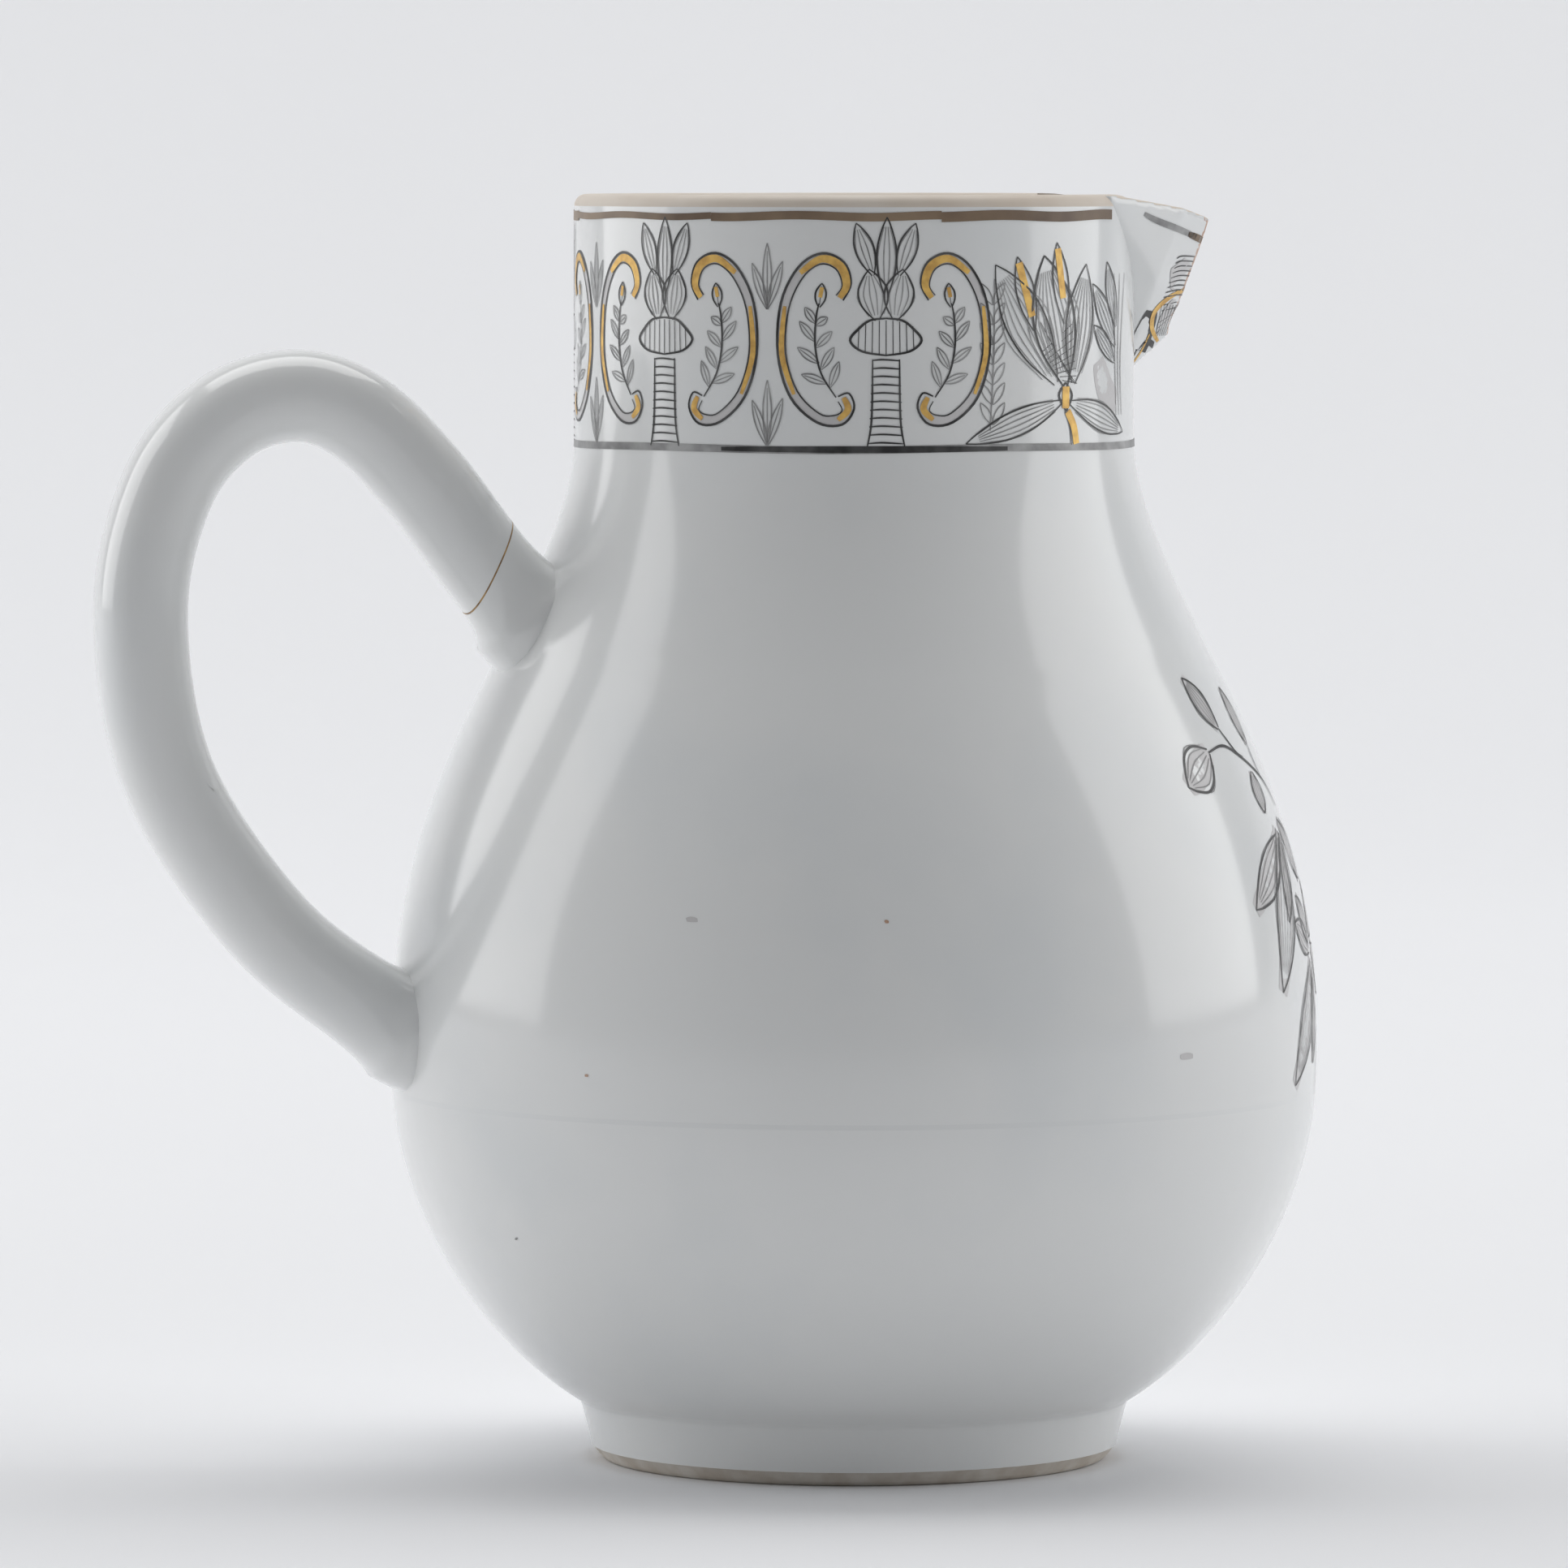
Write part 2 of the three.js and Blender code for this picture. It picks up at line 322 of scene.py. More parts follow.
@dataclass
class Workshop:
    """Makes mesh objects on the jug's axis and dresses them."""

    axis_x: float
    pieces: list[str] = field(default_factory=list)

    def mesh(self, name: str, verts: list[Point3], faces: list[list[int]], mats: list[Material],
             smooth: bool = True) -> Piece:
        """Makes a mesh object from millimetre points on the jug's axis.

        Args:
            name: The piece's name.
            verts: Points in millimetres.
            faces: Vertex indices of the faces.
            mats: Materials, the first for all faces.
            smooth: Whether faces are shaded smooth.

        Returns:
            The object.
        """
        data = bpy.data.meshes.new(name)
        data.from_pydata([((x + self.axis_x) * MM, y * MM, z * MM) for x, y, z in verts], [], faces)
        data.validate()
        for mat in mats:
            data.materials.append(mat)
        data.polygons.foreach_set("use_smooth", [smooth] * len(data.polygons))
        data.set_sharp_from_angle(angle=math.radians(SHARP_ANGLE))
        data.update()
        obj = bpy.data.objects.new(name, data)
        bpy.context.scene.collection.objects.link(obj)
        return obj

    @staticmethod
    def soften(obj: Piece) -> None:
        """Shades a carved piece smooth, with its real corners kept sharp.

        Args:
            obj: The piece.
        """
        obj.data.polygons.foreach_set("use_smooth", [True] * len(obj.data.polygons))
        obj.data.set_sharp_from_angle(angle=math.radians(SHARP_ANGLE))

    def finish(self, obj: Piece, slot: str, *nodes: str) -> None:
        """Rides a piece on the jug's body, hides the solids it replaces, lists it and logs its faces.

        Args:
            obj: The piece.
            slot: Its material slot; not used.
            nodes: The solids it replaces.
        """
        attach(obj, "root")
        if nodes:
            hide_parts(*nodes)
        self.pieces.append(obj.name)
        LOG.info("%s: %d faces", obj.name, len(obj.data.polygons))

    @staticmethod
    def round_over(obj: Piece, voxel: float, passes: int) -> None:
        """Rounds a carved piece's corners, as wet clay is wiped with a finger.

        Args:
            obj: The piece.
            voxel: Size of the new faces in millimetres.
            passes: Smoothing passes.
        """
        remesh = obj.modifiers.new("remesh", "REMESH")
        remesh.mode = "VOXEL"
        remesh.voxel_size = voxel * MM
        wipe = obj.modifiers.new("wipe", "SMOOTH")
        wipe.factor = 0.5
        wipe.iterations = passes
        graph = bpy.context.evaluated_depsgraph_get()
        data = bpy.data.meshes.new_from_object(obj.evaluated_get(graph))
        obj.modifiers.clear()
        obj.data = data

    def revolve(self, name: str, outline: list[Point2], mats: list[Material],
                sizes: BodySizes) -> Piece:
        """Turns a closed outline round the axis.

        Args:
            name: The piece's name.
            outline: Radius and height pairs, closed or with both ends on the axis.
            mats: Materials.
            sizes: The body's sizes.

        Returns:
            The object.
        """
        verts, faces, rings = [], [], []
        for r, z in outline:
            if r < ON_AXIS:
                rings.append([len(verts)] * sizes.around)
                verts.append((0.0, 0.0, z))
                continue
            rings.append(list(range(len(verts), len(verts) + sizes.around)))
            for i in range(sizes.around):
                a = math.tau * i / sizes.around
                verts.append((r * math.cos(a), r * math.sin(a), z))
        closed = outline[0][0] > ON_AXIS
        pairs = list(zip(rings, rings[1:] + (rings[:1] if closed else [])))
        for low, high in pairs:
            for i in range(sizes.around):
                j = (i + 1) % sizes.around
                quad = [low[i], low[j], high[j], high[i]]
                face = list(dict.fromkeys(quad))
                if len(face) > 2:
                    faces.append(face)
        return self.mesh(name, verts, faces, mats)


@dataclass
class TurnedBody:
    """The two thrown halves and the slip between them."""

    shop: Workshop
    sizes: BodySizes

    def lower_outline(self) -> list[Point2]:
        """Draws the lower bowl's outside, from the foot up to the seam.

        Returns:
            Radius and height pairs.
        """
        s = self.sizes
        return [(s.foot_top_r, s.foot_top_z)] + bezier([
            (s.foot_top_r, s.foot_top_z), (s.foot_top_r + 10.5, s.foot_top_z + 6.3),
            (s.belly_r - 0.6, s.seam_z - 12), (s.belly_r, s.seam_z)], 36)

    def upper_outline(self) -> list[Point2]:
        """Draws the shoulder and neck's outside, from the seam up to the straight neck.

        Returns:
            Radius and height pairs.
        """
        s = self.sizes
        low = s.seam_top
        belly = bezier([(s.belly_r, low), (s.belly_r + 0.9, s.seam_z + 17),
                        (s.shoulder_r + 8.4, s.shoulder_z - 15.5), (s.shoulder_r, s.shoulder_z)], 36)
        neck = bezier([(s.shoulder_r, s.shoulder_z), (s.shoulder_r - 3.2, s.shoulder_z + 7),
                       (s.neck_r + 0.2, s.neck_start_z - 7), (s.neck_r, s.neck_start_z)], 24)
        return [(s.belly_r, low)] + belly + neck

    def radius_at(self, height: float) -> float:
        """Outer radius of the body at a height.

        Args:
            height: Height in millimetres.

        Returns:
            The radius in millimetres.
        """
        line = self.lower_outline() + self.upper_outline() + [(self.sizes.neck_r, self.sizes.height)]
        for (r0, z0), (r1, z1) in zip(line, line[1:]):
            if z0 <= height <= z1 and z1 > z0:
                return r0 + (r1 - r0) * (height - z0) / (z1 - z0)
        return self.sizes.neck_r

    def lower_half(self, glaze: Material, biscuit: Material) -> None:
        """Builds the bowl with its turned foot.

        Args:
            glaze: Glaze material.
            biscuit: Bare clay of the foot.
        """
        s = self.sizes
        floor = s.underside_z + s.base_thick
        inside = bezier([(s.inner_r, s.seam_z), (s.inner_r, s.seam_z * 0.5),
                         (s.inner_r * 0.7, floor), (0.0, floor)], 30)
        foot = [(0.0, s.underside_z), (s.foot_inner_r - 1.6, s.underside_z),
                (s.foot_inner_r - 0.7, s.underside_z - 0.5), (s.foot_inner_r - 0.3, 0.4),
                (s.foot_inner_r + 0.2, 0.05), (s.foot_inner_r + 0.6, 0.0),
                (s.foot_flat_r - 0.4, 0.0), (s.foot_flat_r, 0.15), (s.foot_flat_r + 0.45, 0.6),
                (s.foot_glaze_r - 0.2, s.foot_bevel_z - 0.15), (s.foot_glaze_r, s.foot_bevel_z),
                (s.foot_glaze_r + 0.3, s.foot_bevel_z + 1.4),
                (s.foot_top_r - 0.25, s.foot_top_z - 0.7), (s.foot_top_r - 0.1, s.foot_top_z - 0.25)]
        outline = foot + self.lower_outline() + [(s.inner_r, s.seam_z)] + inside
        lower = self.shop.revolve("lower_bowl", outline, [glaze, biscuit], s)
        for polygon in lower.data.polygons:
            height = polygon.center.z / MM
            radius = math.hypot(polygon.center.x / MM - self.shop.axis_x, polygon.center.y / MM)
            if height < s.foot_bevel_z and radius > s.foot_inner_r - 0.9:
                polygon.material_index = 1
        self.shop.finish(lower, "glazed_porcelain", "lower_body")

    def seam(self, slip: Material) -> None:
        """Builds the ring of slip between the halves.

        Args:
            slip: Material of the slip.
        """
        s = self.sizes
        middle = (s.seam_z + s.seam_top) / 2
        ring = [(s.inner_r, s.seam_z), (s.belly_r, s.seam_z), (s.belly_r, middle),
                (s.belly_r, s.seam_top), (s.inner_r, s.seam_top), (s.inner_r - 0.2, middle)]
        self.shop.finish(self.shop.revolve("seam_slip", ring, [slip], s), "slip", "body_seam_slip")

    def upper_half(self, glaze: Material, bare_rim: Material) -> None:
        """Builds the shoulder, neck and lip, open behind the beak.

        Args:
            glaze: Glaze material.
            bare_rim: Bare clay of the rim.
        """
        s = self.sizes
        half = s.lip_wall / 2
        lip = [(s.neck_r - half + half * math.cos(math.radians(a)),
                s.height - half + half * math.sin(math.radians(a))) for a in range(15, 180, 15)]
        inner = list(reversed(offset(self.upper_outline(), -s.wall)))
        inner[-1] = (s.inner_r, s.seam_top)
        outline = (self.upper_outline() + [(s.neck_r, z) for z in (*s.neck_rings, s.height - half)]
                   + lip + [(s.neck_r - s.lip_wall, s.height - half)] + inner)
        upper = self.shop.revolve("neck_and_shoulder", outline, [glaze, bare_rim], s)
        Beak.cut(upper, self.shop, s)
        for polygon in upper.data.polygons:
            if polygon.center.z / MM > s.height - s.bare_rim:
                polygon.material_index = 1
        self.shop.soften(upper)
        self.shop.finish(upper, "glazed_porcelain", "upper_body")

    def build(self, glaze: Material, biscuit: Material, bare_rim: Material, slip: Material) -> None:
        """Builds both halves and the slip.

        Args:
            glaze: Glaze material.
            biscuit: Bare clay of the foot.
            bare_rim: Bare clay of the rim.
            slip: Material of the slip.
        """
        self.lower_half(glaze, biscuit)
        self.seam(slip)
        self.upper_half(glaze, bare_rim)


def hull(shop: Workshop, name: str, points: list[Point3]) -> Piece:
    """Makes the convex body round the points.

    Args:
        shop: The workshop.
        name: The object's name.
        points: Points in millimetres.

    Returns:
        The object.
    """
    obj = shop.mesh(name, points, [], [], smooth=False)
    bm = bmesh.new()
    bm.from_mesh(obj.data)
    result = bmesh.ops.convex_hull(bm, input=bm.verts)
    loose = [v for v in result["geom_interior"] if isinstance(v, bmesh.types.BMVert)]
    bmesh.ops.delete(bm, geom=loose, context="VERTS")
    bmesh.ops.recalc_face_normals(bm, faces=bm.faces)
    bm.to_mesh(obj.data)
    bm.free()
    return obj


def carve(target: Piece, tool: Piece, operation: str) -> None:
    """Applies a boolean and removes the tool.

    Args:
        target: The object that is changed.
        tool: The cutting or joining object.
        operation: DIFFERENCE, INTERSECT or UNION.
    """
    modifier = target.modifiers.new("carve", "BOOLEAN")
    modifier.operation = operation
    modifier.solver = "EXACT"
    modifier.object = tool
    graph = bpy.context.evaluated_depsgraph_get()
    data = bpy.data.meshes.new_from_object(target.evaluated_get(graph))
    target.modifiers.clear()
    target.data = data
    bpy.data.objects.remove(tool)


@dataclass
class Beak:
    """The pointed spout with its keel and its broken point."""

    shop: Workshop
    sizes: BodySizes
    root_angle: float = 37.0
    depth: float = 19.0
    reach: float = 40.5
    drop: float = 3.6
    wall: float = 2.3
    break_reach: float = 36.0
    sink: float = 0.9
    above: float = 12.0
    voxel: float = 0.35
    wipes: int = 7
    stain_from: Point2 = (32.2, 112.0)
    stain_half: float = 5.5
    stain_facing: float = 0.72
    bare_from_z: float = 124.5
    bare_facing: float = 0.55

    @classmethod
    def cut(cls, target: Piece, shop: Workshop, sizes: BodySizes) -> None:
        """Opens the neck behind the beak.

        Args:
            target: The neck object.
            shop: The workshop.
            sizes: The body's sizes.
        """
        beak = cls(shop, sizes)
        carve(target, beak.wedge("channel", beak.wall, beak.above), "DIFFERENCE")

    def wedge(self, name: str, inset: float, rise: float) -> Piece:
        """The beak's outside, or its channel when drawn in.

        Args:
            name: The object's name.
            inset: Distance drawn in from the outside.
            rise: Height added above the lip.

        Returns:
            The wedge object.
        """
        s = self.sizes
        angle = math.radians(self.root_angle)
        root_x, root_y = s.neck_r * math.cos(angle), s.neck_r * math.sin(angle) - inset
        tip_x, tip_z = self.reach - inset * 2.1, s.height - self.drop
        low_z = s.height - self.depth + inset * 1.6
        back_x = s.neck_r - s.lip_wall * 3
        points = [(s.neck_r - 0.4 - inset, 0.0, low_z),
                  ((tip_x + s.neck_r) / 2 + 0.6, 0.0, (tip_z + low_z) / 2 - 1.5),
                  (tip_x, 0.0, tip_z), (tip_x, 0.0, tip_z + rise),
                  (back_x, 0.0, low_z + 4), (back_x, 0.0, s.height + rise)]
        for side in (-1, 1):
            mid_x, mid_y = (root_x + tip_x) / 2 + 0.9, side * (root_y / 2 + 0.8)
            points += [(mid_x, mid_y, s.height - self.drop * 0.4 + rise),
                       (mid_x - 3, mid_y, s.height - self.depth * 0.45),
                       (root_x, side * root_y, s.height + rise),
                       (root_x, side * root_y, s.height - 1),
                       (back_x, side * root_y, s.height + rise)]
        return hull(self.shop, name, points)

    def loss(self, name: str) -> Piece:
        """The broken-away point, as a body to cut with.

        Args:
            name: The object's name.

        Returns:
            The object.
        """
        top, reach = self.sizes.height - self.drop + 2, self.break_reach
        outline = [(reach + 0.4, top), (reach, 125), (reach - 2, 120), (reach - 3.2, 116.6),
                   (reach - 2, 114), (self.reach + 4, 112), (self.reach + 4, top)]
        points = []
        for x, z in outline:
            points += [(x + 0.5, -12, z), (x - 0.3, 12, z)]
        return hull(self.shop, name, points)

    def build(self, glaze: Material, stain: Material, rim: Material) -> Piece:
        """Builds the beak and the slip at its root as one piece.

        Args:
            glaze: Glaze material.
            stain: Material of the broken face.
            rim: Bare clay of the lip.

        Returns:
            The beak.
        """
        s = self.sizes
        beak = self.wedge("beak_trough", 0.0, 0.0)
        carve(beak, self.wedge("channel", self.wall, self.above), "DIFFERENCE")
        core_r, core_low, core_high = s.neck_r - self.sink, 80.0, 145.0
        core = self.shop.revolve("core", [(0.0, core_low), (core_r, core_low),
                                          (core_r, core_high), (0.0, core_high)], [], s)
        carve(beak, core, "DIFFERENCE")
        carve(beak, self.loss("loss"), "DIFFERENCE")
        self.shop.round_over(beak, self.voxel, self.wipes)
        for mat in (glaze, stain, rim):
            beak.data.materials.append(mat)
        for polygon in beak.data.polygons:
            x, z = polygon.center.x / MM - self.shop.axis_x, polygon.center.z / MM
            broken = x > self.stain_from[0] and z > self.stain_from[1]
            narrow = abs(polygon.center.y / MM) < self.stain_half
            polygon.use_smooth = True
            polygon.material_index = 0
            if polygon.normal.x > self.stain_facing and narrow and broken:
                polygon.material_index = 1
            elif polygon.normal.z > self.bare_facing and z > self.bare_from_z:
                polygon.material_index = 2
        self.shop.finish(beak, "glazed_porcelain", "beak", "beak_slip")
        return beak


@dataclass
class Handle:
    """The loop handle, its old break and its roots."""

    shop: Workshop
    body: TurnedBody
    width: float = 12.0
    thick: float = 9.4
    path: tuple[Point2, ...] = ((-32.2, 85.0), (-38.5, 92.4), (-45.0, 101.0), (-51.4, 107.3),
                                (-58.0, 109.6), (-65.3, 107.4), (-71.2, 100.3), (-74.0, 87.5),
                                (-71.2, 71.0), (-61.5, 56.2), (-51.5, 47.9), (-43.5, 43.5))
    break_at: Point2 = (-38.6, 91.5)
    break_normal: Point2 = (-0.902, 0.431)
    glue: float = 0.4
    glue_share: float = 0.4
    sides: int = 40
    squareness: float = 0.82
    flare: float = 0.32
    flare_reach: float = 1.8
    seat: float = 0.05

    def section(self, angle: float, flare: float) -> Point2:
        """A point of the strap's rounded section.

        Args:
            angle: Angle round the section in radians.
            flare: Factor that widens the section near a root.

        Returns:
            Offsets across and through the strap.
        """
        across, through = math.cos(angle), math.sin(angle)
        square = [math.copysign(abs(v) ** self.squareness, v) for v in (across, through)]
        return (square[0] * self.width / 2 * flare, square[1] * self.thick / 2 * flare)

    def tube(self, name: str, mats: list[Material]) -> Piece:
        """The whole strap as a closed tube that enters the body at both ends.

        Args:
            name: The piece's name.
            mats: Materials.

        Returns:
            The object.
        """
        line = smooth_path(list(self.path), STRAP_STEPS)
        verts, faces = [], []
        count = len(line)
        for i, (x, z) in enumerate(line):
            x0, z0 = line[max(0, i - 1)]
            x1, z1 = line[min(count - 1, i + 1)]
            length = math.hypot(x1 - x0, z1 - z0)
            nx, nz = -(z1 - z0) / length, (x1 - x0) / length
            clear = abs(x) - self.body.radius_at(z)
            flare = 1.0 + self.flare * math.exp(-max(0.0, clear) / self.flare_reach)
            for k in range(self.sides):
                across, through = self.section(math.tau * k / self.sides, flare)
                verts.append((x + nx * through, across, z + nz * through))
        for i in range(count - 1):
            for k in range(self.sides):
                j = (k + 1) % self.sides
                low, high = i * self.sides, (i + 1) * self.sides
                faces.append([low + k, high + k, high + j, low + j])
        faces.append(list(range(self.sides)))
        faces.append(list(reversed(range((count - 1) * self.sides, count * self.sides))))
        obj = self.shop.mesh(name, verts, faces, mats)
        bm = bmesh.new()
        bm.from_mesh(obj.data)
        bmesh.ops.recalc_face_normals(bm, faces=bm.faces)
        bm.to_mesh(obj.data)
        bm.free()
        return obj

    def slab(self, name: str, start: float, end: float) -> Piece:
        """A thick plate along the break, between two distances from it.

        Args:
            name: The object's name.
            start: Nearest distance.
            end: Furthest distance.

        Returns:
            The object.
        """
        (bx, bz), (nx, nz) = self.break_at, self.break_normal
        points = []
        for distance in (start, end):
            for along in (-30.0, 30.0):
                for y in (-30.0, 30.0):
                    points.append((bx + nx * distance - nz * along, y, bz + nz * distance + nx * along))
        return hull(self.shop, name, points)

    def zone(self, name: str, across: Point2, heights: Point2) -> Piece:
        """A block round one end of the strap.

        Args:
            name: The object's name.
            across: Its two sides, from the axis.
            heights: Its lowest and highest levels.

        Returns:
            The object.
        """
        return hull(self.shop, name, [(x, y, z) for x in across for y in (-20, 20) for z in heights])

    def build(self, glaze: Material, adhesive: Material) -> None:
        """Builds the loop, the stub and the glue between them.

        Args:
            glaze: Glaze material.
            adhesive: Old adhesive.
        """
        seam = self.glue / 2 * self.glue_share
        far = 60.0
        loop = self.tube("handle_strap", [glaze])
        carve(loop, self.slab("cut", -far, seam), "DIFFERENCE")
        lower = self.tube("lower_strap", [glaze])
        carve(lower, self.zone("low", (-90, -20), (20, 70)), "INTERSECT")
        carve(loop, lower, "UNION")
        carve(loop, self.body_core(), "DIFFERENCE")
        self.shop.soften(loop)
        self.shop.finish(loop, "glazed_porcelain", "handle_loop", "handle_lower_slip")

        stub = self.tube("handle_root_stub", [glaze])
        carve(stub, self.zone("up", (-50, -20), (76, 110)), "INTERSECT")
        carve(stub, self.slab("cut", -seam, far), "DIFFERENCE")
        carve(stub, self.body_core(), "DIFFERENCE")
        self.shop.soften(stub)
        self.shop.finish(stub, "glazed_porcelain", "handle_stub", "handle_upper_slip")

        glue = self.tube("old_glue", [adhesive])
        carve(glue, self.slab("thin", -seam, seam), "INTERSECT")
        carve(glue, self.body_core(), "DIFFERENCE")
        self.shop.soften(glue)
        self.shop.finish(glue, "adhesive", "repair_glue")

    def body_core(self) -> Piece:
        """The body's outer volume, to end the strap at its surface.

        Returns:
            The object.
        """
        sizes = self.body.sizes
        top = sizes.height + 10.0
        line = [(r - self.seat, z) for r, z in self.body.lower_outline() + self.body.upper_outline()]
        outline = [(0.0, sizes.foot_top_z)] + line + [(sizes.neck_r - self.seat, top), (0.0, top)]
        return self.shop.revolve("core", outline, [], sizes)


@dataclass
class Painter:
    """Lays enamel strokes on the jug's surface, as thin ribbons."""

    shop: Workshop
    body: TurnedBody
    lift: float = 0.06
    weight: float = 1.35
    thin: float = 0.35
    beside: float = 60.0
    near_keel: float = 3.0
    layers: dict[Ink, float] = field(
        default_factory=lambda: {Ink.WASH: -0.04, Ink.GILT: 0.015, Ink.GREY: 0.01})
    strokes: dict[Ink, tuple[list[Point3], list[list[int]]]] = field(default_factory=dict)

    def place(self, theta: float, z: float, extra: float) -> Point3:
        """A point on the glaze.

        Args:
            theta: Angle in degrees from the front, towards the beak.
            z: Height.
            extra: Lift above the other enamel.

        Returns:
            The point in millimetres.
        """
        r = self.body.radius_at(z) + self.lift + extra
        a = math.radians(theta - 90.0)
        return (r * math.cos(a), r * math.sin(a), z)

    def edges(self, points: list[Point2], width: float, taper: bool) -> list[list[Point2]]:
        """Finds the two edges of a stroke, which swells in the middle where it tapers.

        Args:
            points: The middle of the stroke.
            width: Full width of the stroke.
            taper: Whether the ends run thin.

        Returns:
            A pair of points for each point.
        """
        last = len(points) - 1
        pairs = []
        for i, (u, v) in enumerate(points):
            u0, v0 = points[max(0, i - 1)]
            u1, v1 = points[min(last, i + 1)]
            length = math.hypot(u1 - u0, v1 - v0) or 1.0
            swell = self.thin + (1 - self.thin) * math.sin(math.pi * (0.12 + 0.76 * i / last))
            half = width * self.weight / 2 * (swell if taper else 1.0)
            nu, nv = -(v1 - v0) / length * half, (u1 - u0) / length * half
            pairs.append([(u + sign * nu, v + sign * nv) for sign in (-1, 1)])
        return pairs

    @staticmethod
    def join(verts: list[Point3], faces: list[list[int]], flipped: bool) -> None:
        """Adds the face between the last two pairs of points.

        Args:
            verts: The enamel's points.
            faces: The enamel's faces.
            flipped: Whether the face is turned over.
        """
        n = len(verts)
        face = [n - 4, n - 3, n - 1, n - 2]
        faces.append(face[::-1] if flipped else face)

    def stroke(self, ink: Ink, line: list[Point2], width: float, origin: Point2,
               mirror: int = 1, taper: bool = True, smooth: bool = True) -> None:
        """Draws one brush stroke.

        Args:
            ink: The enamel.
            line: Points across and up, in millimetres from the origin.
            width: Full width of the stroke.
            origin: Angle and height of the motif.
            mirror: 1, or -1 to draw it reversed.
            taper: Whether the ends run thin.
            smooth: Whether the line is smoothed.
        """
        points = smooth_path(line, STROKE_STEPS) if smooth else line
        verts, faces = self.strokes.setdefault(ink, ([], []))
        extra = self.layers.get(ink, 0.0)
        for i, pair in enumerate(self.edges(points, width, taper)):
            for u, v in pair:
                z = origin[1] + v
                theta = origin[0] + math.degrees(u * mirror / self.body.radius_at(z))
                verts.append(self.place(theta, z, extra))
            if i:
                self.join(verts, faces, flipped=mirror > 0)

    def leaf(self, base: Point2, tip: Point2, width: float, origin: Point2, mirror: int = 1,
             hatch: int = 3, ink: Ink = Ink.GREY, line: float = 0.14) -> None:
        """Draws a pointed leaf: two sides and hatching.

        Args:
            base: Where it starts.
            tip: Where it ends.
            width: Its greatest width.
            origin: Angle and height of the motif.
            mirror: 1, or -1 to draw it reversed.
            hatch: Number of lines inside.
            ink: The enamel.
            line: Width of the outline.
        """
        du, dv = tip[0] - base[0], tip[1] - base[1]
        length = math.hypot(du, dv)
        nu, nv = -dv / length, du / length
        for side in (-1, 1):
            middle = [(base[0] + du * t + nu * side * width * bulge,
                       base[1] + dv * t + nv * side * width * bulge)
                      for t, bulge in ((0.0, 0.06), (0.3, 0.42), (0.6, 0.48), (0.85, 0.25), (1.0, 0.0))]
            self.stroke(ink, middle, line, origin, mirror)
        for k in range(hatch):
            share = (k + 1) / (hatch + 1) - 0.5
            self.stroke(Ink.SOFT, [(base[0] + du * t + nu * width * share * w,
                                    base[1] + dv * t + nv * width * share * w)
                                   for t, w in ((0.1, 0.7), (0.5, 1.5), (0.88, 0.5))],
                        0.09, origin, mirror)

    def on_beak(self, ink: Ink, line: list[Point2], width: float, beak: Piece) -> None:
        """Draws one stroke on both flanks of the beak.

        Args:
            ink: The enamel.
            line: Points forward of the axis and up, in millimetres.
            width: Full width of the stroke.
            beak: The beak.
        """
        points = smooth_path(line, STROKE_STEPS)
        verts, faces = self.strokes.setdefault(ink, ([], []))
        for side in (-1, 1):
            for i, pair in enumerate(self.edges(points, width, True)):
                for x, z in pair:
                    start = Vector(((x + self.shop.axis_x) * MM, side * self.beside * MM, z * MM))
                    hit, spot, normal, _ = beak.ray_cast(start, Vector((0.0, -side, 0.0)))
                    if not hit:
                        start.y = side * self.near_keel * MM
                        _, spot, normal, _ = beak.closest_point_on_mesh(start)
                    spot = spot + normal * self.lift * MM
                    verts.append((spot.x / MM - self.shop.axis_x, spot.y / MM, spot.z / MM))
                if i:
                    self.join(verts, faces, flipped=side < 0)

    def build(self, inks: dict[Ink, Material]) -> None:
        """Makes one piece per enamel.

        Args:
            inks: Material of each enamel.
        """
        for ink, (verts, faces) in self.strokes.items():
            obj = self.shop.mesh(f"enamel_{ink.value}", verts, faces, [inks[ink]])
            self.shop.finish(obj, "glazed_porcelain")


